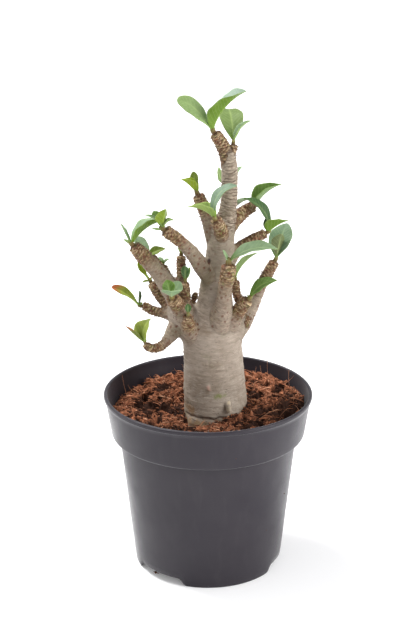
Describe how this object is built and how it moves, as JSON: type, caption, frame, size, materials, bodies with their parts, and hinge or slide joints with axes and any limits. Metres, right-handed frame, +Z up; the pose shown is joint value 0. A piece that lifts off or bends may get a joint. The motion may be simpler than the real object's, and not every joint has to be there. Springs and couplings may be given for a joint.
{
  "type": "potted desert rose adenium",
  "caption": "Swollen grey trunk with stubby scarred branches and a few leathery leaves at each tip, rooted in coir in a collared round plastic nursery pot.",
  "frame": {"origin": "middle of the pot's foot, on the surface the pot stands on", "axes": "+Z straight up the plant, +X to the right as seen from the front, +Y away from the front"},
  "size_m": [0.13, 0.13, 0.3044],
  "materials": {
    "pot": "matte charcoal plastic with a soft sheen",
    "coir": "loose moist coir fibre",
    "bark": "smooth pale living bark, matt, rough at the leaf scars",
    "leaf": "waxy, leathery blade with a soft bloom"
  },
  "bodies": {
    "root": {"pot": "pot", "soil": "coir", "caudex": "bark", "leaves_crown_left": "leaf", "leaves_crown_right": "leaf", "leaves_upper_left": "leaf", "leaves_upper_front": "leaf", "leaves_upper_right": "leaf", "leaves_right_rear": "leaf", "leaves_right_outer": "leaf", "leaves_right_low": "leaf", "leaves_front_right": "leaf", "leaves_right_inner": "leaf", "leaves_left_high": "leaf", "leaves_left_outer": "leaf", "leaves_left_rear": "leaf", "leaves_left_rear_side": "leaf", "leaves_left_under": "leaf", "leaves_left_low": "leaf", "leaves_left_hook": "leaf", "leaves_front_left": "leaf", "leaves_left_inner": "leaf", "leaves_left_behind": "leaf", "leaves_front_knob": "leaf", "leaves_rear_high": "leaf", "leaves_rear_middle": "leaf"}
  },
  "joints": []
}
